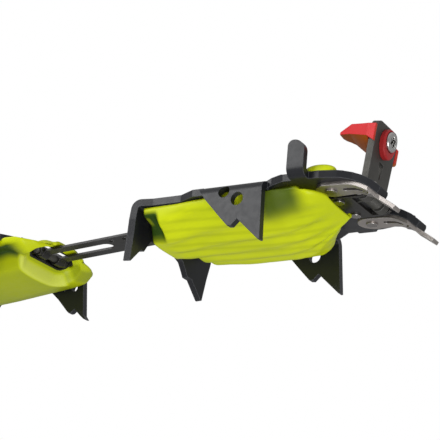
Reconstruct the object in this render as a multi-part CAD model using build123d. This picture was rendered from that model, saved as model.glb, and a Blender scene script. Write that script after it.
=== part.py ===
from build123d import *
import math
import os

# A ten-point hiking crampon in two hinged-together units, in millimetres.
# World frame: +X towards the toe, +Y to the left, +Z up, origin on the ground under the middle of the
# crampon.  Each unit is drawn level in a frame of its own and then placed:
#   front frame  x from the bend at its rear edge, z from the face that the boot's sole rests on
#   bar frame    along the link bar, from the same bend
#   heel frame   x from the front edge of the left heel point, z from the heel's sole face
#   lever frame  the toe lever's pivot, leaning with the lever

# ---- placing of the units ----
FRONT_X = 20.78
FRONT_Z = 36.06
FRONT_NOSE_DOWN = 4.547
BAR_Z = -4.7
BAR_DROOP = 4.5
HEEL_DROOP = 8.8
PIVOT_X = 110.5
PIVOT_Z = 1.0
LEVER_LEAN = 8.0

# ---- sheet metal ----
PLATE = 3.5
BEND_OUT = 5.0
BEND_IN = 1.5
POINT_DEPTH = 30.0
HOLE_R = 3.0
SMALL_RIVET_R = 1.6
CLEAR = 0.3

# ---- front frame ----
RAIL_IN = 21.0
RAIL_REAR_OUT = 34.0
RAIL_OUT = 38.3
JOG_START = 27.0
JOG_END = 36.0
CROSS_REAR_END = 19.0
CROSS_MIDDLE_END = 3.5
STEP_START = 73.0
STEP_END = 81.0
STEP_UP = 3.2
HOOP_OUT = 35.0
ARM_OUT = 29.5
ARM_IN = 15.5
ARM_END = 127.0
CROSS_FRONT_START = 92.0
CROSS_FRONT_END = 104.0
POINT_ROOT_REAR = 41.0
POINT_ROOT_FRONT = 75.0
RIGHT_POINT_SET = 1.5
CORNER_Y = 14.0
CORNER_X = -3.0
CORNER_TURN = 10.0
CORNER_SPLAY = 5.0
CORNER_WIDTH = 22.2
POST_START = 86.5
POST_END = 95.0
POST_OUT = 41.0
POST_TOP = 17.2

# ---- front strips ----
STRIP = 1.8
STRIP_Y = 22.3
STRIP_HALF = 7.0
STRIP_START = 93.5
TIP_HALF = 2.9
RIVET_R = 2.0
RIVET_XS = (100.3, 120.5)

# ---- front snow plate ----
SKIN = 2.6
SNOW_TOP = -3.9
SNOW_SECTIONS = (  # x, half width, depth under the sole face
    (6.5, 31.0, 12.5),
    (24.0, 33.0, 17.0),
    (45.0, 37.0, 18.5),
    (66.0, 37.0, 18.5),
    (80.0, 34.0, 16.5),
    (90.0, 28.0, 13.0),
    (98.0, 20.0, 7.5),
)

PAD_X = 98.4
PAD_Y = 30.6
PAD_LONG = 8.2
PAD_WIDE = 4.3
PAD_RISE = 4.0

# ---- link bar ----
BAR = 1.2
BAR_HALF = 9.2
BAR_FRONT = 50.0
BAR_REAR = -73.8
BAR_SLOT_HALF = 3.7
BAR_SLOT_END = -38.0
BAR_HOLE_R = 1.6
HOLE_PITCH = 8.0
HOLE_COUNT = 10
HOLE_FIRST = -30.0
HOLE_ROW = 5.2
HOLE_STAGGER = 1.5

# ---- bar guide and latch ----
GUIDE_START = 8.0
GUIDE_END = 17.0
GUIDE_WALL = 10.0
GUIDE_OUT = 19.5
GUIDE_FLOOR = -5.1
GUIDE_SHEET = 1.5
GUIDE_RIVET_Y = 17.0
LATCH_X = 20.4
LATCH_Z = -7.4
LATCH_PIN_R = 1.5
STUD_X = 34.7
STUD_TOP = -4.1

# ---- toe lever and its bracket ----
LEVER = 3.3
LEVER_FACE = 1.0
LEVER_HALF = 11.0
LEVER_LEFT = 12.2
LEVER_TOP = 36.5
KNUCKLE_R = 3.6
SPRING_HALF = 5.8
SPRING_R = 3.1
SPRING_WIRE_R = 0.55
PIN_R = 2.0
RUN = 0.05
BRACKET = 1.8
BRACKET_HALF = 13.4
BRACKET_REAR = 94.5
BRACKET_RIVET_X = 98.0
BRACKET_RIVET_Y = 9.0

# ---- toe hook ----
SCREW_Z = 28.5
SCREW_R = 2.5
HEAD_R = 4.8
RECESS_R = 3.1
HEAD_THICK = 2.0
WASHER_Z = 27.3
WASHER_HALF = 6.2
WASHER_TALL = 7.4
WASHER_THICK = 2.8
HOOK_TRAVEL = 3.0
HOOK_HALF = 12.8
HOOK_TOP = 33.2
BEAK_SECTIONS = (  # x, right and left half widths, top, lower edge, keel's y and z
    (-2.6, 12.8, 12.8, 33.2, 27.0, 0.0, 19.5),
    (-8.0, 11.2, 10.5, 33.5, 28.0, 0.0, 23.1),
    (-13.2, 9.6, 6.0, 33.9, 28.9, -1.0, 26.7),
    (-19.4, 7.7, 0.5, 30.5, 29.2, -3.5, 28.7),
)
NUT_HALF = 3.6
NUT_THICK = 3.0

# ---- heel frame ----
HEEL_LENGTH = 82.0
HEEL_OUT = 34.7
HEEL_IN = 20.0
HEEL_FLANGE = 7.0
HEEL_RIGHT_SET = 9.0
HEEL_CROSS = 17.0
EAR_START = -52.0
EAR_END = -40.0
EAR_TOP = 14.0

# ---- heel axle ----
AXLE_X = 0.8
AXLE_Z = -4.35
AXLE_R = 1.9
AXLE_HALF = 12.6
EYE_R = 3.1
AXLE_EAR_IN = 9.6
AXLE_RIVET_X = -9.5
AXLE_RIVET_Y = 7.0
BEZEL_X = 2.4
BEZEL_Y = -1.3
BEZEL_Z = -5.45
BEZEL_TILT = 25.0
BEZEL_LENGTH = 32.4
BEZEL_WIDTH = 12.0
BEZEL_RIM = 1.4

# ---- heel snow plate ----
LIP = 2.2
LIP_TOP = -0.8
HEEL_SNOW_SECTIONS = (  # x, half width, depth under the sole face
    (11.0, 20.0, 8.5),
    (6.0, 28.0, 11.0),
    (-2.0, 30.6, 13.5),
    (-24.0, 30.6, 16.0),
    (-55.0, 30.0, 15.0),
    (-77.0, 26.0, 11.0),
)

# ---- heel bail and lever ----
BAIL_WIRE_R = 1.6
BAIL_X = -46.0
BAIL_Z = 8.5
BAIL_RISE = 25.0
BAIL_OUT = 38.0
BAIL_REACH = 52.0
HEEL_LEVER_HALF = 12.0


def loop(points):
    """Polygon face whose corners run anticlockwise, whatever order they are given in."""
    area = sum(a[0] * b[1] - b[0] * a[1] for a, b in zip(points, points[1:] + points[:1]))
    return Polygon(*(points if area > 0 else points[::-1]), align=None)


def slab_xy(points, low, high):
    return extrude(Plane.XY.offset(low) * loop(points), high - low)


def slab_xz(points, low, high):
    return extrude(Plane.XZ.offset(-high) * loop(points), high - low)


def slab_yz(points, low, high):
    return extrude(Plane.YZ.offset(low) * loop(points), high - low)


def block(x0, x1, y0, y1, z0, z1):
    return Pos((x0 + x1) / 2, (y0 + y1) / 2, (z0 + z1) / 2) * Box(x1 - x0, y1 - y0, z1 - z0)


def rod_y(x, z, radius, y0, y1):
    return Pos(x, (y0 + y1) / 2, z) * Rot(90, 0, 0) * Cylinder(radius, y1 - y0)


def rod_x(y, z, radius, x0, x1):
    return Pos((x0 + x1) / 2, y, z) * Rot(0, 90, 0) * Cylinder(radius, x1 - x0)


def rod_z(x, y, radius, z0, z1):
    return Pos(x, y, (z0 + z1) / 2) * Cylinder(radius, z1 - z0)


def both_sides(shape):
    return shape + mirror(shape, Plane.XZ)


def round_edges(shape, axis, radius, test):
    chosen = [edge for edge in shape.edges().filter_by(axis) if test(edge.center())]
    return fillet(chosen, radius)


def angle_profile(out, depth, far_in):
    """Cross-section (y, z) of a rail with a point turned down along its outer edge."""
    return [(far_in, 0), (out, 0), (out, -depth), (out - PLATE, -depth), (out - PLATE, -PLATE),
            (far_in, -PLATE)]


def bent_rail(x0, x1, out, far_in, depth):
    """Left rail with its edge turned down, before the point is cut to its outline."""
    rail = slab_yz(angle_profile(out, depth, far_in), x0, x1)
    rail = round_edges(rail, Axis.X, BEND_OUT, lambda c: c.Z > -0.1 and c.Y > out - 0.1)
    inner = out - PLATE
    return round_edges(rail, Axis.X, BEND_IN,
                       lambda c: abs(c.Z + PLATE) < 0.1 and abs(c.Y - inner) < 0.1)


def side_point_outline(set_back):
    """Outline (x, z) of a front side point: a long tooth in front of a short one."""
    outline = [(POINT_ROOT_REAR, 1), (POINT_ROOT_REAR, -1.5), (47.0, -8.0), (54.5, -16.2), (60.0, -22.0),
            (62.0, -22.2), (65.0, -19.2), (76.6, -POINT_DEPTH), (77.6, -POINT_DEPTH),
            (POINT_ROOT_FRONT, -1.0), (POINT_ROOT_FRONT, 1)]
    return [(x - set_back if z < -3 else x, z + 0.6 * set_back if z < -3 else z) for x, z in outline]


def side_point(set_back):
    """Left rail of the front frame from the jog to the step, with its side point."""
    out = RAIL_OUT + PLATE
    bent = bent_rail(POINT_ROOT_REAR, POINT_ROOT_FRONT + 4, out, RAIL_IN, POINT_DEPTH + 2)
    keep = slab_xz(side_point_outline(set_back), RAIL_OUT - 4, out + 1)
    keep += block(POINT_ROOT_REAR, POINT_ROOT_FRONT, RAIL_IN - 1, RAIL_OUT - 3, -PLATE - 1, 1)
    point = bent & keep
    point -= rod_y(54.6 + 0.5 * set_back, -4.9 + 0.4 * set_back, HOLE_R, 30, 50)
    return point - rod_y(62.2 + 0.3 * set_back, -9.8 + 0.8 * set_back, HOLE_R + 0.2, 30, 50)


def rear_rail():
    """Left half of the flat plate from the rear cross-piece to the root of the side point."""
    outline = [(CORNER_X, 0), (CORNER_X, CORNER_Y), (CORNER_X + 8, CORNER_Y + 2),
               (CORNER_X + 9, RAIL_REAR_OUT), (JOG_START, RAIL_REAR_OUT), (JOG_END, RAIL_OUT),
               (POINT_ROOT_REAR + 1, RAIL_OUT), (POINT_ROOT_REAR + 1, RAIL_IN),
               (CROSS_REAR_END + 6, RAIL_IN), (CROSS_REAR_END, CORNER_Y + 2),
               (CROSS_REAR_END, CORNER_Y), (CROSS_MIDDLE_END, CORNER_Y), (CROSS_MIDDLE_END, 0)]
    return slab_xy(outline, -PLATE, 0)


def corner_point():
    """Left rear corner point: turned down across the rail, swept and splayed to the rear."""
    lean = math.tan(math.radians(CORNER_SPLAY))
    deep = POINT_DEPTH + 2
    profile = [(12, 0), (0, 0), (-deep * lean, -deep), (PLATE - deep * lean, -deep),
               (PLATE - PLATE * lean, -PLATE), (12, -PLATE)]
    sheet = slab_xz(profile, -3, CORNER_WIDTH)
    sheet = round_edges(sheet, Axis.Y, BEND_OUT, lambda c: c.Z > -0.1 and c.X < 0.1)
    sheet = round_edges(sheet, Axis.Y, BEND_IN,
                        lambda c: abs(c.Z + PLATE) < 0.1 and abs(c.X - PLATE) < 0.6)
    outline = [(-3, 1), (CORNER_WIDTH, 1), (CORNER_WIDTH, -10), (21.0, -18), (19.8, -POINT_DEPTH),
               (18.9, -POINT_DEPTH), (10.2, -21.6), (6.6, -21.2), (4.8, -18.6), (1.6, -14.6),
               (-3, -12.4)]
    point = sheet & slab_yz(outline, -20, 20)
    return Pos(CORNER_X, CORNER_Y, 0) * Rot(0, 0, -CORNER_TURN) * point


def hoop_profile():
    """Side view (x, z) of the stepped-up front hoop and of the arms that curve down to the toe."""
    top = [(STEP_START, 0), (STEP_END, STEP_UP), (110.0, STEP_UP), (114.0, 2.7), (118.0, 1.4),
           (123.0, -1.2), (ARM_END, -4.6)]
    under = [(ARM_END - 1.8, -PLATE - 4.0), (121.6, -4.3), (117.0, -2.0), (113.4, -0.8),
             (109.6, STEP_UP - PLATE), (STEP_END + 0.7, STEP_UP - PLATE), (STEP_START + 0.7, -PLATE)]
    return top + under


def hoop():
    """Left half of the front hoop: rail, front cross-piece and one arm."""
    outline = [(STEP_START, RAIL_IN), (STEP_START, RAIL_OUT - 2), (STEP_START + 4, RAIL_OUT - 1.5),
               (82.0, HOOP_OUT + 0.5), (100.0, HOOP_OUT), (108.0, 33.0), (114.0, ARM_OUT + 0.5),
               (121.0, ARM_OUT - 1.2), (126.5, 26.5), (ARM_END, 24.5), (ARM_END, 20.0),
               (126.5, 18.0), (121.0, ARM_IN + 0.6), (107.0, ARM_IN), (CROSS_FRONT_END, 14.8),
               (CROSS_FRONT_END, 0), (CROSS_FRONT_START, 0), (CROSS_FRONT_START, RAIL_IN - 6),
               (CROSS_FRONT_START - 6, RAIL_IN)]
    return slab_xz(hoop_profile(), 0, RAIL_OUT) & slab_xy(outline, -20, 20)


def side_post():
    """Left centring post, on a tongue turned up from the hoop's outer edge."""
    low = STEP_UP - PLATE
    profile = [(HOOP_OUT - 6, low), (POST_OUT, low), (POST_OUT, POST_TOP), (POST_OUT - PLATE, POST_TOP),
               (POST_OUT - PLATE, STEP_UP), (HOOP_OUT - 6, STEP_UP)]
    post = slab_yz(profile, POST_START, POST_END)
    post = round_edges(post, Axis.X, 4.5, lambda c: c.Z < low + 0.1 and c.Y > POST_OUT - 0.1)
    post = round_edges(post, Axis.X, 1.2,
                       lambda c: abs(c.Z - STEP_UP) < 0.1 and abs(c.Y - POST_OUT + PLATE) < 0.1)
    tops = [edge for edge in post.edges().filter_by(Axis.Y) if edge.center().Z > POST_TOP - 0.1]
    rear = [edge for edge in tops if edge.center().X < POST_START + 0.1]
    post = fillet(rear, 2.8)
    front = [edge for edge in post.edges().filter_by(Axis.Y)
             if edge.center().Z > POST_TOP - 0.1 and edge.center().X > POST_END - 0.1]
    return fillet(front, 5.6)


def front_half(set_back):
    """Left half of the front frame, its side point's tips set back by that much."""
    half = rear_rail() + corner_point() + side_point(set_back) + hoop() + side_post()
    for x in RIVET_XS:
        half -= rod_z(x, STRIP_Y, RIVET_R, -20, 20)
    half -= rod_z((GUIDE_START + GUIDE_END) / 2, GUIDE_RIVET_Y, SMALL_RIVET_R, -20, 20)
    return half - rod_z(BRACKET_RIVET_X, BRACKET_RIVET_Y, SMALL_RIVET_R, -20, 20)


def front_frame():
    return front_half(0) + mirror(front_half(RIGHT_POINT_SET), Plane.XZ)


def strip_profile():
    """Side view (x, z) of a steel strip lying under its arm and running on as a front point."""
    top = [(STRIP_START, STEP_UP - PLATE), (109.6, STEP_UP - PLATE), (113.4, -0.8), (117.0, -2.0),
           (121.6, -4.3), (ARM_END - 1.8, -7.5), (133.7, -13.5)]
    under = [(132.7, -15.0), (ARM_END - 3.0, -9.0), (120.8, -6.0), (116.4, -3.8), (113.0, -2.6),
             (109.3, STEP_UP - PLATE - STRIP), (STRIP_START, STEP_UP - PLATE - STRIP)]
    return top + under


def front_strip():
    """Left steel strip: rounded rear, long slot, two rivet holes and a narrow tip."""
    outline = [(STRIP_START + 5, STRIP_Y - STRIP_HALF), (121.0, STRIP_Y - STRIP_HALF + 1.4),
               (126.0, STRIP_Y - TIP_HALF - 0.6), (136.0, STRIP_Y - TIP_HALF),
               (136.0, STRIP_Y + TIP_HALF), (126.0, STRIP_Y + TIP_HALF + 0.6),
               (121.0, STRIP_Y + STRIP_HALF - 1.4), (STRIP_START + 5, STRIP_Y + STRIP_HALF)]
    plan = slab_xy(outline, -20, 20)
    plan += rod_z(STRIP_START + STRIP_HALF, STRIP_Y, STRIP_HALF, -20, 20)
    plan -= block(108, 115, STRIP_Y - 1.7, STRIP_Y + 1.7, -20, 20)
    for x in (108, 115):
        plan -= rod_z(x, STRIP_Y, 1.7, -20, 20)
    for x in RIVET_XS:
        plan -= rod_z(x, STRIP_Y, RIVET_R, -20, 20)
    return slab_xz(strip_profile(), 0, RAIL_OUT) & plan


def strip_rivets():
    """Four rivets that hold the strips to the arms, with low heads above and below."""
    rivets = []
    for side in (-1, 1):
        y = side * STRIP_Y
        flat = rod_z(RIVET_XS[0], y, RIVET_R, STEP_UP - PLATE - STRIP - 0.7, STEP_UP + 0.7)
        flat += rod_z(RIVET_XS[0], y, RIVET_R + 0.9, STEP_UP, STEP_UP + 0.7)
        flat += rod_z(RIVET_XS[0], y, RIVET_R + 0.9, STEP_UP - PLATE - STRIP - 0.7,
                      STEP_UP - PLATE - STRIP)
        steep = rod_z(RIVET_XS[1], y, RIVET_R, -6.2, -0.2)
        rivets += [flat, steep]
    return rivets


def snow_section(x, half, depth, top):
    """Closed cross-section of the snow plate at x: flat on top and bulged below."""
    points = [(half, top), (half, top - 1.5)]
    for step in range(1, 8):
        turn = math.pi * step / 8
        points.append((half * math.cos(turn), top - 1.5 - (depth + top - 1.5) * math.sin(turn) ** 0.7))
    points += [(-half, top - 1.5), (-half, top)]
    return Plane.YZ.offset(x) * loop(points[::-1])


def snow_body(sections, top):
    """Bulged body through its cross-sections."""
    return loft([snow_section(x, half, depth, top) for x, half, depth in sections], ruled=True)


def front_plate():
    """Moulded plate under the front frame that sheds snow, open on top and at the rear for the bar."""
    body = snow_body(SNOW_SECTIONS, SNOW_TOP)
    inner = [(x + (SKIN if x < 10 else 0) - (SKIN if x > 95 else 0), half - SKIN, depth - SKIN)
             for x, half, depth in SNOW_SECTIONS]
    body -= snow_body(inner, SNOW_TOP + 0.01)
    body -= block(-5, GUIDE_START, -GUIDE_OUT - 0.5, GUIDE_OUT + 0.5, -8.0, 0)
    return body - block(GUIDE_START - 1, GUIDE_END, -GUIDE_OUT - 0.5, GUIDE_OUT + 0.5, -8.0, 0)


def plate_pads():
    """Two moulded pads of the snow plate that stand on the hoop inside the posts."""
    pads = []
    for side in (-1, 1):
        oval = Pos(PAD_X, side * PAD_Y, STEP_UP + 0.05) * Ellipse(PAD_LONG, PAD_WIDE)
        pad = extrude(oval, PAD_RISE)
        pads.append(fillet(pad.edges().sort_by(Axis.Z)[-1], 1.8))
    return pads


def link_bar():
    """Slotted steel bar with pairs of setting holes and two eyes that turn on the heel's axle."""
    bar = block(BAR_REAR, BAR_FRONT, -BAR_HALF, BAR_HALF, -BAR / 2, BAR / 2)
    bar = round_edges(bar, Axis.Z, 4.0, lambda c: c.X > BAR_FRONT - 1)
    bar += rod_y(BAR_REAR, 0, EYE_R, -BAR_HALF, BAR_HALF)
    bar -= block(BAR_REAR - 9, BAR_SLOT_END, -BAR_SLOT_HALF, BAR_SLOT_HALF, -5, 5)
    bar -= rod_z(BAR_SLOT_END, 0, BAR_SLOT_HALF, -BAR, BAR)
    bar -= rod_y(BAR_REAR, 0, AXLE_R + RUN, -20, 20)
    for index in range(HOLE_COUNT):
        for side in (-1, 1):
            x = HOLE_FIRST + index * HOLE_PITCH + side * HOLE_STAGGER
            bar -= rod_z(x, side * HOLE_ROW, BAR_HOLE_R, -BAR, BAR)
    return bar


def bar_guide():
    """Sheet saddle that holds the link bar up against the rear cross-piece, with ears for the latch."""
    floor = GUIDE_FLOOR - GUIDE_SHEET
    wall = GUIDE_WALL + GUIDE_SHEET
    under = -PLATE - GUIDE_SHEET
    profile = [(0, floor), (wall, floor), (wall, under), (GUIDE_OUT, under), (GUIDE_OUT, -PLATE),
               (GUIDE_WALL, -PLATE), (GUIDE_WALL, GUIDE_FLOOR), (0, GUIDE_FLOOR)]
    half = slab_yz(profile, GUIDE_START, GUIDE_END)
    half -= rod_z((GUIDE_START + GUIDE_END) / 2, GUIDE_RIVET_Y, SMALL_RIVET_R, -20, 20)
    ear = slab_xz([(GUIDE_END - 3, GUIDE_FLOOR), (LATCH_X + 3, GUIDE_FLOOR),
                   (LATCH_X + 3, LATCH_Z - 2.5), (LATCH_X - 3, LATCH_Z - 2.5),
                   (GUIDE_END - 3, floor)], GUIDE_WALL, wall)
    half += ear - rod_y(LATCH_X, LATCH_Z, LATCH_PIN_R, 0, 20)
    return both_sides(half)


def guide_rivets():
    """Two rivets through the guide's flanges and the rear cross-piece."""
    x = (GUIDE_START + GUIDE_END) / 2
    low = -PLATE - GUIDE_SHEET
    rivets = []
    for side in (-1, 1):
        rivet = rod_z(x, side * GUIDE_RIVET_Y, SMALL_RIVET_R, low - 0.6, 0)
        rivets.append(rivet + rod_z(x, side * GUIDE_RIVET_Y, SMALL_RIVET_R + 0.3, low - 0.8, low))
    return rivets


def length_latch():
    """Rocker with two studs that drop into a pair of the bar's holes, and a finger tab in front."""
    barrel = rod_y(LATCH_X, LATCH_Z, LATCH_PIN_R + 1.4, -GUIDE_WALL + CLEAR, GUIDE_WALL - CLEAR)
    tab = LATCH_X + 24
    arm = block(LATCH_X, tab, -GUIDE_WALL + 2, GUIDE_WALL - 2, LATCH_Z - 1, LATCH_Z + 1)
    latch = barrel + round_edges(arm, Axis.Z, 4.0, lambda c: c.X > tab - 1)
    for side in (-1, 1):
        x = STUD_X + side * HOLE_STAGGER
        latch += rod_z(x, side * HOLE_ROW, BAR_HOLE_R - 0.4, LATCH_Z, STUD_TOP)
    return latch - rod_y(LATCH_X, LATCH_Z, LATCH_PIN_R + RUN, -20, 20)


def latch_pin():
    end = GUIDE_WALL + GUIDE_SHEET + 0.5
    return rod_y(LATCH_X, LATCH_Z, LATCH_PIN_R, -end, end)


def toe_bracket():
    """Steel channel under the front cross-piece whose two ears carry the toe lever's pin."""
    low = STEP_UP - PLATE - BRACKET
    base = block(BRACKET_REAR, PIVOT_X - KNUCKLE_R - 1.5, 0, BRACKET_HALF, low, STEP_UP - PLATE)
    base -= rod_z(BRACKET_RIVET_X, BRACKET_RIVET_Y, SMALL_RIVET_R, -20, 20)
    ear_points = [(CROSS_FRONT_END + 0.6, low), (PIVOT_X + 1.5, low), (PIVOT_X + 3.8, PIVOT_Z - 1.5),
                  (PIVOT_X + 3.8, PIVOT_Z + 2.0), (PIVOT_X + 1.8, PIVOT_Z + 4.0),
                  (PIVOT_X - 2.2, PIVOT_Z + 4.0), (CROSS_FRONT_END + 0.6, PIVOT_Z + 1.5)]
    ear = slab_xz(ear_points, BRACKET_HALF - BRACKET, BRACKET_HALF)
    ear -= rod_y(PIVOT_X, PIVOT_Z, PIN_R, 0, 20)
    return both_sides(base + ear)


def bracket_rivets():
    """Two rivets through the bracket and the front cross-piece."""
    low = STEP_UP - PLATE - BRACKET
    rivets = []
    for side in (-1, 1):
        y = side * BRACKET_RIVET_Y
        rivet = rod_z(BRACKET_RIVET_X, y, SMALL_RIVET_R, low - 0.6, STEP_UP)
        rivets.append(rivet + rod_z(BRACKET_RIVET_X, y, SMALL_RIVET_R + 0.9, low - 0.8, low))
    return rivets


def lever_pin():
    """Pivot pin with a low head at each end."""
    pin = rod_y(PIVOT_X, PIVOT_Z, PIN_R, -BRACKET_HALF - 0.8, BRACKET_HALF + 0.8)
    for side in (-1, 1):
        ends = sorted((side * BRACKET_HALF, side * (BRACKET_HALF + 0.8)))
        pin += rod_y(PIVOT_X, PIVOT_Z, PIN_R + 0.8, *ends)
    return pin


def lever_spring():
    """Close-wound torsion spring round the pin, drawn as its coils with one leg on the bracket."""
    coils = rod_y(PIVOT_X, PIVOT_Z, SPRING_R, -SPRING_HALF + 0.6, SPRING_HALF - 0.6)
    coils -= rod_y(PIVOT_X, PIVOT_Z, PIN_R + 0.3, -20, 20)
    leg_z = PIVOT_Z - SPRING_R + SPRING_WIRE_R
    leg = rod_x(0, leg_z, SPRING_WIRE_R, PIVOT_X - KNUCKLE_R - 1.2, PIVOT_X - 1.0)
    return coils + leg - rod_y(PIVOT_X, PIVOT_Z, PIN_R + 0.3, -20, 20)


def toe_lever():
    """Thick lever plate in the lever frame, with two knuckles on the pin and a slot for the screw."""
    rear = LEVER_FACE - LEVER
    outline = [(-LEVER_HALF + 0.6, -1), (LEVER_HALF - 0.6, -1), (LEVER_LEFT, LEVER_TOP),
               (-LEVER_HALF, LEVER_TOP)]
    plate = slab_yz(outline, rear, LEVER_FACE)
    plate = round_edges(plate, Axis.X, 4.2, lambda c: c.Z > LEVER_TOP - 1)
    plate -= block(-9, 9, -SPRING_HALF, SPRING_HALF, -9, 4.6)
    for side in (-1, 1):
        ends = sorted((side * (SPRING_HALF + 0.2), side * (LEVER_HALF - 0.2)))
        plate += rod_y(0, 0, KNUCKLE_R, *ends)
    plate -= rod_y(0, 0, PIN_R + RUN, -20, 20)
    plate -= slab_yz([(-2.3, 18.2), (2.7, 17.8), (1.3, 9.8), (0.1, 9.8)], -9, 9)
    half = SCREW_R + CLEAR
    plate -= block(-9, 9, -half, half, SCREW_Z - HOOK_TRAVEL, SCREW_Z + HOOK_TRAVEL)
    for z in (SCREW_Z - HOOK_TRAVEL, SCREW_Z + HOOK_TRAVEL):
        plate -= rod_x(0, z, half, -9, 9)
    return plate


def beak():
    """Tapering beak with a keel underneath, in the lever frame."""
    sections = []
    for x, near, far, top, edge, keel_y, keel in BEAK_SECTIONS:
        points = [(-near, top), (far, top), (far, edge), (keel_y, keel), (-near, edge)]
        sections.append(Plane.YZ.offset(x) * loop(points))
    return loft(sections, ruled=True)


def toe_hook():
    """Moulded hook behind the lever: a beak over the boot's toe, with a cheek round each edge."""
    rear = LEVER_FACE - LEVER - CLEAR
    front = LEVER_FACE + 0.2
    near = [(rear - 0.5, HOOK_TOP), (front, HOOK_TOP), (front, 24.8), (rear - 0.5, 27.2)]
    hook = beak() + slab_xz(near, -HOOK_HALF, -LEVER_HALF - CLEAR)
    hook += block(rear - 2.6, rear, HOOK_HALF - 6, HOOK_HALF + 2, 22.0, 30.8)
    far = block(rear - 2.6, LEVER_FACE, LEVER_LEFT + CLEAR, HOOK_HALF + 2, 22.0, 30.8)
    hook += round_edges(far, Axis.Y, 1.2, lambda c: c.X > 0)
    hook -= rod_x(0, SCREW_Z, SCREW_R + RUN, -9, 9)
    return hook - block(rear - NUT_THICK, rear + 1, -NUT_HALF, NUT_HALF,
                        SCREW_Z - NUT_HALF, SCREW_Z + NUT_HALF)


def hook_washer():
    """Oval moulded washer between the screw's head and the lever's face."""
    back = LEVER_FACE + 0.15
    face = Plane.YZ.offset(back) * Pos(0, WASHER_Z) * Ellipse(WASHER_HALF, WASHER_TALL)
    oval = extrude(face, WASHER_THICK)
    front = oval.edges().sort_by(Axis.X)[-1]
    oval = fillet(front, 0.9)
    oval -= rod_x(0, SCREW_Z, HEAD_R + 0.3, back + WASHER_THICK - 1.0, 20)
    return oval - rod_x(0, SCREW_Z, SCREW_R + RUN, -9, 20)


def hook_nut():
    """Square nut held in the hook's pocket."""
    rear = LEVER_FACE - LEVER - CLEAR
    half = NUT_HALF - 0.05
    nut = block(rear - NUT_THICK + 0.05, rear - 0.2, -half, half, SCREW_Z - half, SCREW_Z + half)
    return nut - rod_x(0, SCREW_Z, SCREW_R + RUN, -30, 9)


def hook_screw():
    """Round-headed screw with a six-lobed recess."""
    seat = LEVER_FACE + 0.15 + WASHER_THICK - 1.0 + 0.1
    screw = rod_x(0, SCREW_Z, SCREW_R, -7.5, seat + 0.5)
    head = rod_x(0, SCREW_Z, HEAD_R, seat, seat + HEAD_THICK)
    head = fillet(head.edges().sort_by(Axis.X)[-1], 0.8)
    recess = []
    for step in range(12):
        reach = RECESS_R * (1 if step % 2 else 0.62)
        turn = math.pi * step / 6
        recess.append((reach * math.cos(turn), SCREW_Z + reach * math.sin(turn)))
    return screw + head - slab_yz(recess, seat + HEAD_THICK - 1.4, seat + 9)


def heel_point_outline():
    """Outline (x, z) of a heel point whose straight edge is at x = 0, long tooth outermost."""
    return [(-24.6, 1), (-24.6, -6.4), (-23.7, -HEEL_FLANGE), (-16.9, -14.9), (-11.4, -22.6),
            (-10.2, -24.0), (-8.6, -24.1), (-6.3, -22.6), (-2.6, -27.2), (-0.4, -29.6), (1.0, -30.0),
            (-0.5, -27.3), (-0.2, -6.5), (-0.2, 1)]


def heel_half(front_set):
    """One rail of the heel frame: turned-down edge, a point at each end and the bail's ear."""
    rail = bent_rail(-HEEL_LENGTH, 2, HEEL_OUT, HEEL_IN, 34)
    front = [(x - front_set, z) for x, z in heel_point_outline()]
    rear = [(-HEEL_LENGTH - x, z) for x, z in heel_point_outline()]
    keep = slab_xz(front, HEEL_OUT - PLATE - 3, HEEL_OUT + 1)
    keep += slab_xz(rear, HEEL_OUT - PLATE - 3, HEEL_OUT + 1)
    keep += block(-HEEL_LENGTH + 0.2, -front_set - 0.2, HEEL_IN - 1, HEEL_OUT + 1, -HEEL_FLANGE, 1)
    half = rail & keep
    for end, away in ((-front_set, -1), (-HEEL_LENGTH, 1)):
        half -= rod_y(end + away * 6.2, -10.4, 2.1, 20, 40)
        half -= rod_y(end + away * 12.9, -9.6, 1.4, 20, 40)
    ear = block(EAR_START, EAR_END, HEEL_OUT - PLATE, HEEL_OUT, -PLATE - 2, EAR_TOP)
    ear = round_edges(ear, Axis.Y, 5.0, lambda c: c.Z > EAR_TOP - 1)
    half += ear
    return half - rod_y(BAIL_X, BAIL_Z, BAIL_WIRE_R + RUN, 20, 40)


def heel_frame():
    """Bent heel plate: two rails, a slanted front cross-piece notched for the bar, and a rear one."""
    left = heel_half(0)
    right = mirror(heel_half(HEEL_RIGHT_SET), Plane.XZ)
    inner = HEEL_IN + 1
    rear = -HEEL_LENGTH + 0.2
    cross = [(-0.2, inner), (-2.0, -inner), (-2.0 - HEEL_CROSS, -inner), (-HEEL_CROSS, inner)]
    corner = [(-2.0, -inner + 2), (-HEEL_RIGHT_SET + 0.8, -HEEL_OUT + PLATE),
              (-HEEL_RIGHT_SET - 4, -HEEL_OUT + PLATE), (-HEEL_RIGHT_SET - 4, -inner + 2)]
    frame = left + right + slab_xy(cross, -PLATE, 0) + slab_xy(corner, -PLATE, 0)
    frame += block(rear, rear + HEEL_CROSS - 4, -inner, inner, -PLATE, 0)
    notch = AXLE_HALF + CLEAR
    frame -= block(AXLE_X - EYE_R - 2 * CLEAR, 3, -notch, notch, -9, 9)
    for side in (-1, 1):
        frame -= rod_z(AXLE_RIVET_X, side * AXLE_RIVET_Y, SMALL_RIVET_R, -9, 9)
    return frame


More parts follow.
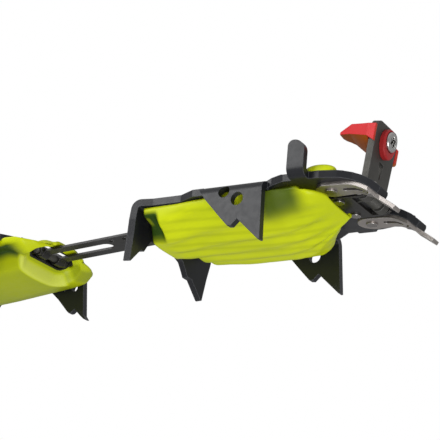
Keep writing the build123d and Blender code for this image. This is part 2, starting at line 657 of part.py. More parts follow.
def axle_bracket():
    """Steel channel riveted under the heel's front cross-piece, with two ears for the axle."""
    low = -PLATE - BRACKET
    outer = AXLE_EAR_IN + BRACKET
    base = block(-14, -5.0, 0, outer, low, -PLATE)
    base -= rod_z(AXLE_RIVET_X, AXLE_RIVET_Y, SMALL_RIVET_R, -9, 9)
    ear = slab_xz([(-14, low), (-14, -PLATE), (0.3, -PLATE), (0.6, AXLE_Z + 2.9),
                   (AXLE_X + 1.6, AXLE_Z + 2.9), (AXLE_X + 2.8, AXLE_Z + 1.4),
                   (AXLE_X + 2.8, AXLE_Z - 1.4), (AXLE_X + 1.6, AXLE_Z - 2.7),
                   (AXLE_X, AXLE_Z - 2.7), (-2.0, low)], AXLE_EAR_IN, outer)
    return both_sides(base + ear - rod_y(AXLE_X, AXLE_Z, AXLE_R, 0, 20))


def axle_rivets():
    """Two rivets through the axle bracket and the heel's front cross-piece."""
    low = -PLATE - BRACKET
    rivets = []
    for side in (-1, 1):
        y = side * AXLE_RIVET_Y
        rivet = rod_z(AXLE_RIVET_X, y, SMALL_RIVET_R, low - 0.6, 0)
        rivets.append(rivet + rod_z(AXLE_RIVET_X, y, SMALL_RIVET_R + 0.9, low - 0.8, low))
    return rivets


def bar_axle():
    return rod_y(AXLE_X, AXLE_Z, AXLE_R, -AXLE_HALF, AXLE_HALF)


def bezel_place():
    """Middle of the nose slot's rim, its face turned forwards and down."""
    return Location((BEZEL_X, BEZEL_Y, BEZEL_Z), (0, 180 - BEZEL_TILT, 90))


def heel_plate():
    """Moulded plate under the heel frame, hollow above, with a slot in its nose for the link bar."""
    body = snow_body(HEEL_SNOW_SECTIONS, SNOW_TOP)
    inner = [(x - (SKIN if x > 10 else 0) + (SKIN if x < -70 else 0), half - SKIN, depth - SKIN)
             for x, half, depth in HEEL_SNOW_SECTIONS]
    body -= snow_body(inner, SNOW_TOP + 0.01)
    lip = [(0.4, -29.0), (3.9, -29.0), (8.5, -23.7), (12.0, -14.0), (12.0, 14.0), (8.5, 23.7),
           (3.9, 29.0), (0.4, 29.0)]
    body += slab_xy(lip, SNOW_TOP - 0.5, LIP_TOP)
    body -= block(-1, 20, -BAR_HALF - 0.6, BAR_HALF + 0.6, -7.2, LIP_TOP - LIP)
    bracket = AXLE_EAR_IN + BRACKET + 0.3
    body -= block(-9, AXLE_X + 3.2, -bracket, bracket, -9, 0)
    opening = extrude(SlotOverall(BEZEL_LENGTH + 0.1, BEZEL_WIDTH + 0.1), 9, both=True)
    return body - bezel_place() * opening


def slot_bezel():
    """Oval rubber rim round the nose slot."""
    outer = SlotOverall(BEZEL_LENGTH, BEZEL_WIDTH)
    inner = SlotOverall(BEZEL_LENGTH - 2 * BEZEL_RIM, BEZEL_WIDTH - 2 * BEZEL_RIM)
    return bezel_place() * extrude(outer - inner, -1.4)


def heel_bail():
    """Bent wire bail that swings on the ears and comes up behind the boot's heel."""
    reach = BAIL_REACH
    corners = [(0, HEEL_OUT - PLATE - 1.5, 0), (0, BAIL_OUT, 0), (-reach * 0.7, BAIL_OUT, 0),
               (-reach, BAIL_OUT - 14, 0), (-reach, -BAIL_OUT + 14, 0), (-reach * 0.7, -BAIL_OUT, 0),
               (0, -BAIL_OUT, 0), (0, -HEEL_OUT + PLATE + 1.5, 0)]
    path = FilletPolyline(*corners, radius=3.2)
    section = Plane(origin=path @ 0, z_dir=path % 0) * Circle(BAIL_WIRE_R)
    return sweep(section, path=path)


def heel_lever():
    """Moulded lever on the bail's rear bar: a barrel, a nose that bears on the heel and a long tab."""
    body = [(-4, -4), (4, -5), (9, -2), (9, 1), (4, 4.5), (3, 22), (0, 31), (-3.5, 31), (-4, 20),
            (-5.5, 4)]
    lever = slab_xz(body, -HEEL_LEVER_HALF, HEEL_LEVER_HALF)
    return lever - rod_y(0, 0, BAIL_WIRE_R + RUN, -20, 20)


def build():
    front = Location((FRONT_X, 0, FRONT_Z), (0, FRONT_NOSE_DOWN, 0))
    bar = front * Location((0, 0, BAR_Z), (0, -BAR_DROOP, 0))
    lever = front * Location((PIVOT_X, 0, PIVOT_Z), (0, LEVER_LEAN, 0))
    eye = bar * Location((BAR_REAR, 0, 0), (0, BAR_DROOP - HEEL_DROOP, 0))
    heel = eye * Location((-AXLE_X, 0, -AXLE_Z))
    bail = heel * Location((BAIL_X, 0, BAIL_Z), (0, BAIL_RISE, 0))
    heel_lever_place = bail * Location((-BAIL_REACH, 0, 0), (0, 0, 0))
    left = front_strip()
    parts = {
        "front_frame": front * front_frame(),
        "front_strip_left": front * left,
        "front_strip_right": front * mirror(left, Plane.XZ),
        "strip_rivets": front * Compound(strip_rivets()),
        "front_plate": front * front_plate(),
        "plate_pads": front * Compound(plate_pads()),
        "bar_guide": front * bar_guide(),
        "guide_rivets": front * Compound(guide_rivets()),
        "latch_pin": front * latch_pin(),
        "length_latch": front * length_latch(),
        "toe_bracket": front * toe_bracket(),
        "bracket_rivets": front * Compound(bracket_rivets()),
        "lever_pin": front * lever_pin(),
        "lever_spring": front * lever_spring(),
        "toe_lever": lever * toe_lever(),
        "toe_hook": lever * toe_hook(),
        "hook_washer": lever * hook_washer(),
        "hook_nut": lever * hook_nut(),
        "hook_screw": lever * hook_screw(),
        "link_bar": bar * link_bar(),
        "heel_frame": heel * heel_frame(),
        "axle_bracket": heel * axle_bracket(),
        "axle_rivets": heel * Compound(axle_rivets()),
        "bar_axle": heel * bar_axle(),
        "heel_plate": heel * heel_plate(),
        "slot_bezel": heel * slot_bezel(),
        "heel_bail": bail * heel_bail(),
        "heel_lever": heel_lever_place * heel_lever(),
    }
    os.makedirs("parts", exist_ok=True)
    for name, shape in parts.items():
        export_step(shape, f"parts/{name}.step")


build()
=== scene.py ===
import math
import bpy
import bmesh
from mathutils import Matrix, Vector


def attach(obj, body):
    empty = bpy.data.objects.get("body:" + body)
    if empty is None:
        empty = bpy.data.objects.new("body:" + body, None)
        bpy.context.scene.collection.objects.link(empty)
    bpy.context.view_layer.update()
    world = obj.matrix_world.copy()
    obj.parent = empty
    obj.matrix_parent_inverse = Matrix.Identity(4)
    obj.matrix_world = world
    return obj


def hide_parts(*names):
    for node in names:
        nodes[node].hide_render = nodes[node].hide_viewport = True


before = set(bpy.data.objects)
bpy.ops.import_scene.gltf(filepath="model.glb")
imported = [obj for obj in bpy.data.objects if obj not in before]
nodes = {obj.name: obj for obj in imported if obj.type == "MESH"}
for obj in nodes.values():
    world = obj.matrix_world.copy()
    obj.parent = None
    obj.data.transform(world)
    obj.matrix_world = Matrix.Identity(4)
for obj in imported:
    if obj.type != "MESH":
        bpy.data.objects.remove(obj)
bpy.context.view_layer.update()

# ---- sizes in millimetres and degrees, as in the CAD ----
MM = 0.001
FRONT = (20.78, 36.06, 4.547)
BAR_Z, BAR_DROOP, BAR_REAR, HEEL_DROOP = -4.7, 4.5, -73.8, 8.8
AXLE = (0.8, -4.35)
PIVOT, LEAN = (110.5, 1.0), 8.0
SLOT_AT, SLOT_TILT = (2.4, -1.3, -5.45), 25
SLOT_LONG, SLOT_WIDE = 32.4, 12
PAD_AT, PAD_HALF, PAD_RISE = (98.4, 30.6, 3.25), (8.2, 4.3), 3.9
SCREW_Z, RECESS_FLOOR, RECESS_R = 28.5, 3.7, 2.95


def place(x, z, nose_down):
    return Matrix.Translation((x * MM, 0, z * MM)) @ Matrix.Rotation(math.radians(nose_down), 4, "Y")


FRONT_FRAME = place(*FRONT)
BAR_FRAME = FRONT_FRAME @ place(0, BAR_Z, -BAR_DROOP)
HEEL_FRAME = BAR_FRAME @ place(BAR_REAR, 0, BAR_DROOP - HEEL_DROOP) @ place(-AXLE[0], -AXLE[1], 0)
PIVOT_FRAME = FRONT_FRAME @ place(*PIVOT, 0)
LEVER_FRAME = FRONT_FRAME @ place(*PIVOT, LEAN)


# ---- materials ----
def rgba(colour):
    return (*colour, 1)


def grey(value):
    return (value, value, value)


class Nodes:
    """One material's node tree, with short calls for the nodes used here."""

    def __init__(self, name):
        self.mat = bpy.data.materials.new(name)
        self.mat.use_nodes = True
        self.tree = self.mat.node_tree
        self.shader = self.tree.nodes["Principled BSDF"]
        self.coords = self.add("ShaderNodeTexCoord").outputs["Object"]

    def put(self, socket, value):
        if isinstance(value, bpy.types.NodeSocket):
            self.tree.links.new(value, socket)
        else:
            socket.default_value = value

    def fill(self, node, sockets):
        for key, value in sockets.items():
            self.put(node.inputs[key.replace("_", " ")], value)

    def add(self, kind, **sockets):
        node = self.tree.nodes.new(kind)
        self.fill(node, sockets)
        return node

    def set(self, **sockets):
        self.fill(self.shader, sockets)

    def noise(self, scale, detail, stretch=None):
        vector = self.coords
        if stretch:
            vector = self.add("ShaderNodeMapping", Vector=vector, Scale=stretch).outputs["Vector"]
        return self.add("ShaderNodeTexNoise", Vector=vector, Scale=scale, Detail=detail).outputs["Fac"]

    def ramp(self, fac, stops):
        node = self.add("ShaderNodeValToRGB", Fac=fac)
        for element, (at, colour) in zip(node.color_ramp.elements, stops):
            element.position = at
            element.color = rgba(colour)
        return node.outputs["Color"]

    def mix(self, fac, under, over):
        """Colour `under`, going over to the plain colour `over` where fac is 1."""
        node = self.tree.nodes.new("ShaderNodeMix")
        node.data_type = "RGBA"
        self.fill(node, {"Factor": fac, "A": under, "B": rgba(over)})
        return node.outputs["Result"]

    def rounded(self, radius):
        return self.add("ShaderNodeBevel", Radius=radius).outputs["Normal"]

    def bump(self, height, strength, distance):
        node = self.add("ShaderNodeBump", Height=height, Strength=strength, Distance=distance,
                        Normal=self.rounded(0.0004))
        self.set(Normal=node.outputs["Normal"])

    def times(self, value, factor):
        node = self.add("ShaderNodeMath")
        node.operation = "MULTIPLY"
        self.put(node.inputs[0], value)
        self.put(node.inputs[1], factor)
        return node.outputs["Value"]

    def facing_down(self):
        """1 on faces that look down in the object's own space, 0 on the others."""
        split = self.add("ShaderNodeSeparateXYZ", Vector=self.add("ShaderNodeTexCoord").outputs["Normal"])
        return self.ramp(self.times(split.outputs["Z"], -1.0), [(0.12, grey(0)), (0.4, grey(1))])

    def shade(self, sign):
        """The mesh's painted shade value: 1 where painted shade in a groove is darkest, 0 on open faces, -1
        for a painted highlight on a crest.
        """
        node = self.add("ShaderNodeAttribute")
        node.attribute_name = "shade"
        return self.times(node.outputs["Fac"], sign)

    def edges(self):
        """1 on edges, 0 on flats: how far the rounded normal turns from the flat one. Lighter colour goes on
        these edges: painted highlight, and on painted steel also rubbed wear.
        """
        dot = self.tree.nodes.new("ShaderNodeVectorMath")
        dot.operation = "DOT_PRODUCT"
        self.put(dot.inputs[0], self.add("ShaderNodeNewGeometry").outputs["Normal"])
        self.put(dot.inputs[1], self.rounded(0.0005))
        return self.ramp(dot.outputs["Value"], [(0.82, grey(1)), (0.985, grey(0))])


def painted(name, low, high, edge_wear_and_highlight, rough=0.4, metal=0.0):
    """Powder-coated or blackened steel: fine orange-peel, cloudy tone, and lighter edges that are part rubbed
    wear and part painted highlight.
    """
    n = Nodes(name)
    colour = n.ramp(n.noise(90, 5), [(0.3, low), (0.7, high)])
    n.set(Base_Color=n.mix(n.edges(), colour, edge_wear_and_highlight), Metallic=metal)
    n.set(Roughness=n.ramp(n.noise(400, 2), [(0.3, grey(rough - 0.03)), (0.7, grey(rough + 0.04))]))
    n.bump(n.noise(2200, 2), 0.06, 0.0002)
    return n.mat


def brushed(name, low, high, rough, stretch=(0.12, 1, 1)):
    """Bare steel with a fine grain along one way, a few dull patches and a painted highlight on its edges."""
    n = Nodes(name)
    grain = n.noise(2600, 3, stretch)
    dull = n.ramp(n.noise(70, 4), [(0.35, grey(0)), (0.75, grey(0.8))])
    colour = n.mix(dull, n.ramp(grain, [(0.3, low), (0.7, high)]), low)
    # near-white painted highlight on the edges
    n.set(Base_Color=n.mix(n.edges(), colour, (0.8, 0.78, 0.75)), Metallic=1.0)
    n.set(Roughness=n.ramp(grain, [(0.3, grey(rough - 0.08)), (0.7, grey(rough + 0.1))]))
    n.bump(grain, 0.04, 0.0001)
    return n.mat


def moulded(name, low, high, rough=0.34, soft=0.0, shade_colour=None, highlight_colour=None, below=None):
    """Moulded plastic or rubber: slow colour drift, a fine pebbled skin, painted shade in grooves and on
    faces that look down, and painted highlight on crests.
    """
    n = Nodes(name)
    colour = n.ramp(n.noise(35, 4), [(0.35, low), (0.65, high)])
    # painted shade and painted highlight from the mesh's shade value
    if shade_colour:
        colour = n.mix(n.shade(-1.0), n.mix(n.shade(1.0), colour, shade_colour), highlight_colour)
    # painted shade on faces that look down
    if below:
        colour = n.mix(n.facing_down(), colour, below)
    n.set(Base_Color=colour, Specular_IOR_Level=0.3)
    n.set(Subsurface_Weight=soft, Subsurface_Radius=(0.004, 0.004, 0.0006))
    n.set(Roughness=n.ramp(n.noise(260, 3), [(0.3, grey(rough - 0.05)), (0.7, grey(rough + 0.08))]))
    n.bump(n.noise(1500, 3), 0.08, 0.0002)
    return n.mat


RED = ((0.66, 0.010, 0.016), (0.78, 0.016, 0.022))
# lime plates: a dark green for painted shade and a pale yellow-green for painted highlight
lime = moulded("lime_rubber", (0.60, 0.70, 0.001), (0.69, 0.78, 0.0015), rough=0.42, soft=0.05,
               shade_colour=(0.030, 0.075, 0.004), highlight_colour=(0.80, 0.88, 0.14))
paint = painted("anthracite_paint", (0.0100, 0.0108, 0.0140), (0.0122, 0.0132, 0.0170), (0.11, 0.115, 0.13))
blackened = painted("blackened_steel", (0.008, 0.0075, 0.007), (0.012, 0.011, 0.010), (0.07, 0.065, 0.06))
plate_steel = brushed("plate_steel", (0.46, 0.42, 0.395), (0.56, 0.52, 0.49), rough=0.4)
lever_steel = painted("lever_steel", (0.075, 0.073, 0.066), (0.10, 0.097, 0.088), (0.2, 0.2, 0.2), 0.5, 0.5)
bright_steel = brushed("bright_steel", (0.55, 0.54, 0.53), (0.78, 0.77, 0.75), rough=0.25)
rivet_steel = brushed("rivet_steel", (0.28, 0.26, 0.25), (0.45, 0.42, 0.40), rough=0.32, stretch=(1, 1, 1))
red = moulded("red_plastic", *RED)
# the hook's faces that look down get an orange-brown painted shade
hook_red = moulded("hook_red_plastic", *RED, below=(0.40, 0.09, 0.006))
dark_red = moulded("dark_red_plastic", (0.40, 0.020, 0.022), (0.52, 0.028, 0.030), rough=0.4)
black_rubber = moulded("black_rubber", (0.010, 0.010, 0.009), (0.020, 0.020, 0.018), rough=0.55)

FINISH = (
    (paint, ("front_frame", "heel_frame")),
    (plate_steel, ("front_strip_left", "front_strip_right")),
    (lever_steel, ("toe_lever", "bar_axle")),
    (rivet_steel, ("strip_rivets", "guide_rivets", "bracket_rivets", "axle_rivets")),
    (rivet_steel, ("latch_pin", "lever_pin", "hook_nut")),
    (bright_steel, ("hook_screw", "heel_bail")),
    (blackened, ("link_bar", "bar_guide", "toe_bracket", "axle_bracket")),
    (red, ("length_latch", "heel_lever")),
    (hook_red, ("toe_hook",)),
    (dark_red, ("hook_washer",)),
    (black_rubber, ("slot_bezel",)),
)


def dress(obj, material):
    obj.data.materials.clear()
    obj.data.materials.append(material)


for material, names in FINISH:
    for name in names:
        dress(nodes[name], material)


# ---- making pieces ----
def put_in_scene(name, data):
    obj = bpy.data.objects.new(name, data)
    bpy.context.scene.collection.objects.link(obj)
    return obj


def piece(mesh, body, material, replaces=()):
    """A smooth-shaded object of the mesh's own name that rides on one body."""
    obj = put_in_scene(mesh.name, mesh)
    dress(obj, material)
    for polygon in mesh.polygons:
        polygon.use_smooth = True
    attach(obj, body)
    if replaces:
        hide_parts(*replaces)
    return obj


def rework(mesh, change):
    bm = bmesh.new()
    bm.from_mesh(mesh)
    change(bm)
    bm.to_mesh(mesh)
    bm.free()


def drop_loose(bm):
    bmesh.ops.delete(bm, geom=[v for v in bm.verts if not v.link_faces], context="VERTS")


def weld(bm):
    bmesh.ops.remove_doubles(bm, verts=bm.verts, dist=0.000005)
    bmesh.ops.recalc_face_normals(bm, faces=bm.faces)


def grid_mesh(name, rows, at, keep=lambda i, j: True, shade=None):
    """Mesh of quads over rows of points, given in millimetres and set in the frame `at`."""
    mesh = bpy.data.meshes.new(name)
    wide = len(rows[0])
    points = [point for row in rows for point in row]
    faces = [(i * wide + j, i * wide + j + 1, (i + 1) * wide + j + 1, (i + 1) * wide + j)
             for i in range(len(rows) - 1) for j in range(wide - 1) if keep(i, j)]
    mesh.from_pydata([tuple(at @ (Vector(p) * MM)) for p in points], [], faces)
    if shade:
        values = mesh.attributes.new("shade", "FLOAT", "POINT").data
        for value, point in zip(values, points):
            value.value = shade(*point)
    rework(mesh, drop_loose)
    return mesh


def circle(steps):
    """Angles of a full turn, with the first one given again at the end."""
    return [2 * math.pi * j / steps for j in range(steps + 1)]


def smooth_step(a, b, x):
    """0 where x is at a, 1 where it is at b, held beyond both and smooth between."""
    t = min(1.0, max(0.0, (x - a) / (b - a)))
    return t * t * (3 - 2 * t)


def window(x, start, full, fade, end):
    """0 outside start to end, 1 from full to fade, smooth between."""
    return smooth_step(start, full, x) * smooth_step(end, fade, x)


def blend(a, b, share):
    return a * (1 - share) + b * share


def read(table, x):
    """Value at x from a table of (x, value) rows, a little rounded at each row."""
    if x <= table[0][0]:
        return table[0][1]
    for (x0, low), (x1, high) in zip(table, table[1:]):
        if x <= x1:
            t = 0.35 * smooth_step(x0, x1, x) + 0.65 * (x - x0) / (x1 - x0)
            return low + (high - low) * t
    return table[-1][1]


# ---- snow plates ----
def bulge(t, power, root):
    """Cross-section of a plate: 1 in the middle, 0 at the rims, where t is -1 or 1."""
    return max(0.0, 1 - abs(t) ** power) ** root


def spread(half, power):
    """Places across a plate from -1 to 1, closer together at the rims."""
    return [math.copysign(abs(j / half) ** power, j) for j in range(-half, half + 1)]


def plate_rows(xs, ts, right, left, under, rims):
    """Points of a plate's underside, row by row, with one more point up at each rim."""
    rows = []
    for x in xs:
        right_y, left_y = -read(right, x), read(left, x)
        across = [(t, t * left_y if t > 0 else -t * right_y) for t in ts]
        right_rim, left_rim = rims(x)
        rows.append([(x, right_y, right_rim)] + [(x, y, under(x, y, t)) for t, y in across]
                    + [(x, left_y, left_rim)])
    return rows


def solid_shell(obj, thick, rounds):
    """Round the surface's steps a little, then give it its thickness upwards."""
    soft = obj.modifiers.new("soft", "SMOOTH")
    soft.factor = 0.5
    soft.iterations = rounds
    shell = obj.modifiers.new("shell", "SOLIDIFY")
    shell.thickness = thick * MM
    shell.offset = -1


# ---- front snow plate: tables of (x, value) ----
FRONT_DEPTH = [(5.6, 17.6), (14.0, 17.9), (24.0, 18.3), (36.0, 18.8), (64.0, 18.8), (76.0, 17.6),
               (84.0, 15.2), (91.0, 12.2), (96.0, 9.2), (99.6, 6.4)]
FRONT_RIGHT = [(5.6, 33.0), (24.0, 33.6), (36.0, 35.6), (48.0, 36.6), (64.0, 36.6), (76.0, 35.6),
               (84.0, 33.6), (92.5, 33.0), (95.5, 30.8), (97.8, 27.4), (99.6, 22.4)]
FRONT_LEFT = [(5.6, 33.0), (24.0, 33.6), (36.0, 36.0), (48.0, 37.4), (64.0, 37.2), (72.0, 35.0),
              (77.0, 31.0), (81.0, 23.5), (88.0, 13.8), (93.4, 5.6), (99.6, 2.0)]
FRONT_RIM = [(5.6, -4.2), (40.0, -4.2), (47.0, -2.7), (66.0, -2.7), (74.0, -4.4), (99.6, -4.2)]
FRONT_THICK, FRONT_ROUNDS, FRONT_STEPS = 1.8, 3, 104
REAR_DROP, REAR_ARCH, HOLLOW_RISE = 1.4, 5.0, 1.6
RIPPLE_HEIGHT, RIPPLES_ACROSS, RIDGE_PITCH = 0.75, 6.2, 6.0


def front_depth(x, t):
    """Depth under the plate's datum, with the rear's drop on the right and its arch on the left."""
    drop = REAR_DROP * smooth_step(34, 8, x) * smooth_step(0.1, 0, t)
    arch = REAR_ARCH * smooth_step(17, 8, x) * window(t, 0.02, 0.3, 0.7, 1.1)
    return read(FRONT_DEPTH, x) + drop - arch


def front_ripple(x, t):
    """Long ridges that run along the plate and fade at its rims, nose and rear."""
    swing = 0.55 * math.sin((x - 40) / 34.0)
    fade = window(x, 7, 16, 86, 99) * smooth_step(1.0, 0.86, abs(t))
    fade *= 1 - smooth_step(70, 82, x) * smooth_step(0.3, 0.6, t)
    return RIPPLE_HEIGHT * fade * math.sin(math.pi * (t * RIPPLES_ACROSS + swing))


def front_under(x, y, t):
    """Height of the front plate's underside; t runs from -1 at the right rim to 1 at the left."""
    squarer = smooth_step(34, 8, x) if t < 0 else 0.0
    side = bulge(t, 2.6 + 2.4 * squarer, 0.62 - 0.1 * squarer)
    rim = read(FRONT_RIM, x) - 0.9
    z = rim - (front_depth(x, t) + rim) * side + front_ripple(x, t)
    dent = smooth_step(14.5, 11.5, x) * smooth_step(-21.5, -25.5, y)
    z = blend(z, max(z, rim - 2.6 - 0.3 * (y + 33)), dent)
    return z + HOLLOW_RISE * window(x, 68, 76, 88, 94) * smooth_step(-20, -30, y)


def front_shade(x, y, z):
    """Painted shade and highlight on the front plate: painted shade in its dent, lighter on the dent's tab,
    in the hollow along the right rim, alternating bands of painted shade and highlight along its ridges, and
    a painted highlight band along the right rim at the rear.
    """
    dent = smooth_step(14.6, 12.6, x) * smooth_step(-20.5, -23.5, y) * smooth_step(-5.9, -7.2, z)
    tab = smooth_step(8.4, 7.0, x) * window(y, -31.5, -29.5, -26.6, -24.6)
    hollow = window(x, 64, 73, 84, 93) * smooth_step(-19, -31, y)
    # alternating bands of painted shade and painted highlight along the ridges
    ridge = math.sin(2 * math.pi * (-z + 0.75 * (y + 33) - 0.03 * x) / RIDGE_PITCH + 0.6)
    ridge *= 0.17 * window(x, 8, 15, 84, 97) * smooth_step(26, 12, y)
    # painted highlight band along the right rim at the rear
    band = -0.3 * smooth_step(-5.9, -5.0, z) * smooth_step(60, 40, x) * smooth_step(0, -20, y)
    return max(dent * (1 - 0.35 * tab), 0.9 * hollow, ridge + band)


def front_rims(x):
    rim = read(FRONT_RIM, x) + 0.4
    return rim, rim


front_xs = [5.6 + 94.0 * i / FRONT_STEPS for i in range(FRONT_STEPS + 1)]
front_points = plate_rows(front_xs, spread(40, 0.8), FRONT_RIGHT, FRONT_LEFT, front_under, front_rims)
front_mesh = grid_mesh("front_snow_plate", front_points, FRONT_FRAME, shade=front_shade)
front_snow = piece(front_mesh, "front_unit", lime, ["front_plate"])
solid_shell(front_snow, FRONT_THICK, FRONT_ROUNDS)

# ---- heel snow plate: tables of (x, value) ----
HEEL_DEPTH = [(-79.0, 8.0), (-74.0, 11.5), (-60.0, 14.6), (-40.0, 15.8), (-10.0, 15.8), (-3.0, 15.4),
              (3.0, 13.0), (8.0, 9.8), (12.6, 7.2)]
HEEL_RIGHT = [(-79.0, 25.0), (-74.0, 27.5), (-60.0, 30.0), (-6.0, 30.6), (0.0, 30.6), (3.9, 29.4),
              (8.5, 23.7), (10.3, 17.7), (12.6, 10.5)]
HEEL_LEFT = [(-79.0, 25.0), (-74.0, 27.5), (-60.0, 30.0), (-8.0, 31.0), (1.6, 32.6), (6.0, 31.4),
             (8.6, 26.5), (11.3, 19.3), (12.6, 11.8)]
HEEL_RIM = [(-79.0, -4.6), (-74.0, -2.8), (-8.5, -2.5), (-6.0, -2.0), (0.0, -2.9), (4.5, -4.4), (12.6, -5.4)]
HEEL_LEFT_RIM = [(-79.0, -4.6), (-74.0, -7.6), (-6.0, -8.6), (1.0, -7.9), (6.0, -5.4), (12.6, -5.4)]
HEEL_THICK, HEEL_ROUNDS, HEEL_STEPS = 1.6, 10, 180
CHANNEL_Z, BROW_Z, LEFT_EDGE_Z = -3.2, -6.9, -6.5


def slot_gap(x, y):
    """Distance from the nose slot's outer outline, negative inside."""
    across = (x - SLOT_AT[0]) / math.cos(math.radians(SLOT_TILT))
    beyond = max(0.0, abs(y - SLOT_AT[1]) - (SLOT_LONG - SLOT_WIDE) / 2)
    return math.hypot(across, beyond) - SLOT_WIDE / 2


def slot_seat(x):
    """Height of the slot's tilted seat."""
    return SLOT_AT[2] + (x - SLOT_AT[0]) * math.tan(math.radians(SLOT_TILT)) - 0.2


def heel_belly(x, t):
    """The plain bulge of the heel plate, before its groove and slot."""
    rim = read(HEEL_RIM, x) - 0.6
    if t > 0:
        left = read(HEEL_LEFT_RIM, x) - 0.6
        rim = left + (rim - left) * smooth_step(0.5, 0.0, t)
    return rim - max(0.0, read(HEEL_DEPTH, x) + rim) * bulge(t, 2.4, 0.6)


def heel_under(x, y, t):
    """Height of the heel plate's underside: a groove, the slot's seat, the bar's channel and a brow."""
    z = heel_belly(x, t)
    groove = smooth_step(4.0, -12.0, x) * smooth_step(-31.5, -27.0, y) * smooth_step(-15.5, -22.5, y)
    z = blend(z, max(z, -6.2 + 0.1 * (y + 29)), groove)
    z = blend(z, max(z, slot_seat(x)), smooth_step(4.6, 0.2, slot_gap(x, y)))
    channel = smooth_step(14.0 if y < 0 else 10.8, 8.9, abs(y)) * smooth_step(0.0, 6.0, x)
    z = blend(z, max(z, CHANNEL_Z), channel)
    return blend(z, min(z, BROW_Z), window(y, 7, 12, 15, 24) * smooth_step(-4, 4, x))


def heel_shade(x, y, z):
    """Painted shade on the heel plate in its groove, on its left flank and belly and on the nose's facet, and
    a painted highlight on the crest behind the slot.
    """
    groove = smooth_step(4.0, -7.0, x) * smooth_step(-30.2, -28.6, y) * smooth_step(-18.0, -21.5, y)
    flank = 0.42 * smooth_step(8, 20, y) * smooth_step(6.0, -6.0, x)
    nose = 0.42 * window(x, 0.0, 4.0, 7.5, 10.5) * smooth_step(8, 13, y)
    belly = 0.34 * smooth_step(-24, -10, y) * smooth_step(4, -3, x)
    # painted highlight on the crest behind the slot
    crest = window(slot_gap(x, y), 0.4, 2.0, 4.2, 6.5) * smooth_step(-0.5, -3.0, x)
    return blend(max(groove, flank, nose, belly), -0.75, crest)


def heel_rims(x):
    rim = read(HEEL_RIM, x)
    return rim, max(rim, LEFT_EDGE_Z)


heel_xs = [-79.0 + 91.6 * (i / HEEL_STEPS) ** 0.75 for i in range(HEEL_STEPS + 1)]
heel_points = plate_rows(heel_xs, spread(56, 0.86), HEEL_RIGHT, HEEL_LEFT, heel_under, heel_rims)


def outside_slot(i, j):
    """Whether the cell between rows i and i + 1, points j and j + 1, lies outside the slot."""
    corners = [heel_points[a][b] for a in (i, i + 1) for b in (j, j + 1)]
    return sum(slot_gap(x, y) for x, y, z in corners) / 4 > -0.6


heel_mesh = grid_mesh("heel_snow_plate", heel_points, HEEL_FRAME, outside_slot, heel_shade)
heel_snow = piece(heel_mesh, "heel_unit", lime, ["heel_plate"])
solid_shell(heel_snow, HEEL_THICK, HEEL_ROUNDS)


# ---- pads beside the posts ----
def dome(name, x, y, z):
    rows = []
    for i in range(13):
        a = math.pi / 2 * i / 12
        ring, height = math.cos(a) ** 0.6, math.sin(a) ** 0.8
        rows.append([(x + PAD_HALF[0] * ring * math.cos(b), y + PAD_HALF[1] * ring * math.sin(b),
                      z + PAD_RISE * height) for b in circle(40)])
    return grid_mesh(name, rows, FRONT_FRAME)


for name, side in (("left_pad", 1), ("right_pad", -1)):
    pad_mesh = dome(name, PAD_AT[0], side * PAD_AT[1], PAD_AT[2])
    piece(pad_mesh, "front_unit", lime, ["plate_pads"])

# ---- spring coils ----
COILS, COIL_STEPS, COIL_REACH, COIL_RADIUS, WIRE_RADIUS = 8, 20, 4.7, 2.55, 0.52
SPRING_LEG = [(-5.5, -4.7, -2.5), (-2.6, -4.7, -1.6)]


def coil_path():
    """The spring's leg, then its coils around the lever's pin."""
    path = list(SPRING_LEG)
    steps = COILS * COIL_STEPS
    for step in range(1, steps + 1):
        a = 2 * math.pi * step / COIL_STEPS
        y = COIL_REACH * (2 * step / steps - 1)
        path.append((COIL_RADIUS * math.cos(a), y, COIL_RADIUS * math.sin(a)))
    return path


def tube(name, path, radius, at, sides=10):
    """Round wire along a path of points in millimetres."""
    points = [Vector(p) for p in path]
    padded = points[:1] + points + points[-1:]
    rows = []
    for before, point, after in zip(padded, points, padded[2:]):
        run = (after - before).normalized()
        across = run.cross(Vector((0, 1, 0)) if abs(run.y) < 0.9 else Vector((1, 0, 0))).normalized()
        other = run.cross(across)
        rows.append([tuple(point + (across * math.cos(a) + other * math.sin(a)) * radius)
                     for a in circle(sides)])
    start, end = ([tuple(p)] * (sides + 1) for p in (points[0], points[-1]))
    mesh = grid_mesh(name, [start] + rows + [end], at)
    rework(mesh, weld)
    return mesh


spring_mesh = tube("spring_coils", coil_path(), WIRE_RADIUS, PIVOT_FRAME)
piece(spring_mesh, "front_unit", lever_steel, ["lever_spring"])


# ---- sheet of painted shade on the floor of the screw's six-lobed recess ----
def lobe_point(a):
    reach = RECESS_R * (0.8 - 0.2 * math.cos(6 * a))
    return (RECESS_FLOOR, reach * math.cos(a), SCREW_Z + reach * math.sin(a))


lobes = [lobe_point(a) for a in circle(72)]
centre = [(RECESS_FLOOR, 0.0, SCREW_Z)] * len(lobes)
recess_shade_mesh = grid_mesh("recess_shade_sheet", [centre, lobes], LEVER_FRAME)
piece(recess_shade_mesh, "hook_screw", black_rubber)

# ---- stage ----
FLOOR_HALF, FLOOR_Z = 3, -0.0004
TENT = (0.42, 0.30, 0.55)


def mix_shaders(tree, fac, first, second, output):
    mix = tree.nodes.new("ShaderNodeMixShader")
    for socket, source in zip(mix.inputs, (fac, first, second)):
        tree.links.new(source, socket)
    tree.links.new(mix.outputs[0], tree.nodes[output].inputs["Surface"])


def floor_paper():
    """Pale floor seen from above and clear from below."""
    n = Nodes("floor_paper")
    n.set(Base_Color=rgba(grey(0.86)), Roughness=0.9)
    behind = n.add("ShaderNodeNewGeometry").outputs["Backfacing"]
    clear = n.add("ShaderNodeBsdfTransparent").outputs[0]
    mix_shaders(n.tree, behind, n.shader.outputs[0], clear, "Material Output")
    return n.mat


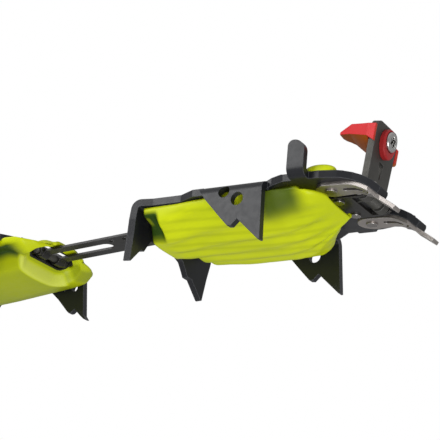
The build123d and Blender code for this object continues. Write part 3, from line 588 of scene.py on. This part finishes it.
def studio():
    """White surround for the camera; for the object, a tent that is brighter overhead."""
    world = bpy.data.worlds.new("studio")
    world.use_nodes = True
    tree = world.node_tree
    tent = tree.nodes["Background"]
    white = tree.nodes.new("ShaderNodeBackground")
    white.inputs["Color"].default_value = rgba(grey(1))
    coords = tree.nodes.new("ShaderNodeTexCoord")
    split = tree.nodes.new("ShaderNodeSeparateXYZ")
    height = tree.nodes.new("ShaderNodeMapRange")
    height.inputs["From Min"].default_value = -1
    ramp = tree.nodes.new("ShaderNodeValToRGB")
    ramp.color_ramp.elements.new(0.5)
    for stop, value in zip(ramp.color_ramp.elements, TENT):
        stop.color = rgba(grey(value))
    tree.links.new(coords.outputs["Generated"], split.inputs[0])
    tree.links.new(split.outputs["Z"], height.inputs["Value"])
    tree.links.new(height.outputs["Result"], ramp.inputs["Fac"])
    tree.links.new(ramp.outputs["Color"], tent.inputs["Color"])
    path = tree.nodes.new("ShaderNodeLightPath")
    mix_shaders(tree, path.outputs["Is Camera Ray"], tent.outputs[0], white.outputs[0], "World Output")
    return world


floor_mesh = bpy.data.meshes.new("floor")
floor_corners = [(x * FLOOR_HALF, y * FLOOR_HALF, FLOOR_Z) for x, y in ((-1, -1), (1, -1), (1, 1), (-1, 1))]
floor_mesh.from_pydata(floor_corners, [], [(0, 1, 2, 3)])
floor = put_in_scene("floor", floor_mesh)
dress(floor, floor_paper())
floor.visible_diffuse = floor.visible_glossy = floor.visible_transmission = floor.visible_shadow = False

bpy.context.scene.world = studio()
bpy.context.scene.view_settings.view_transform = "Standard"


# ---- lights and camera, in metres ----
def area_light(name, at, aim, watts, size=0.7):
    data = bpy.data.lights.new(name, "AREA")
    data.size = size
    data.energy = watts
    light = put_in_scene(name, data)
    light.location = at
    light.rotation_euler = (Vector(aim) - Vector(at)).to_track_quat("-Z", "Y").to_euler()


area_light("key", (-0.55, -0.95, 0.5), (0, 0, 0.03), 6.5)
area_light("under", (0.6, -0.7, -0.75), (0.03, 0, 0.02), 7.5)

CAMERA_AT = (0.378049, -0.556352, -0.228946)
CAMERA_RIGHT = (0.86515, 0.501047, 0.021622)
CAMERA_UP = (0.171108, -0.335428, 0.926396)
CAMERA_BACK = (0.471421, -0.797772, -0.375929)
camera_data = bpy.data.cameras.new("camera")
camera_data.lens = 116.11
camera_data.sensor_width = 36.0
camera_data.clip_start = 0.01
camera = put_in_scene("camera", camera_data)
turn = Matrix((CAMERA_RIGHT, CAMERA_UP, CAMERA_BACK)).transposed().to_4x4()
camera.matrix_world = Matrix.Translation(CAMERA_AT) @ turn
bpy.context.scene.camera = camera
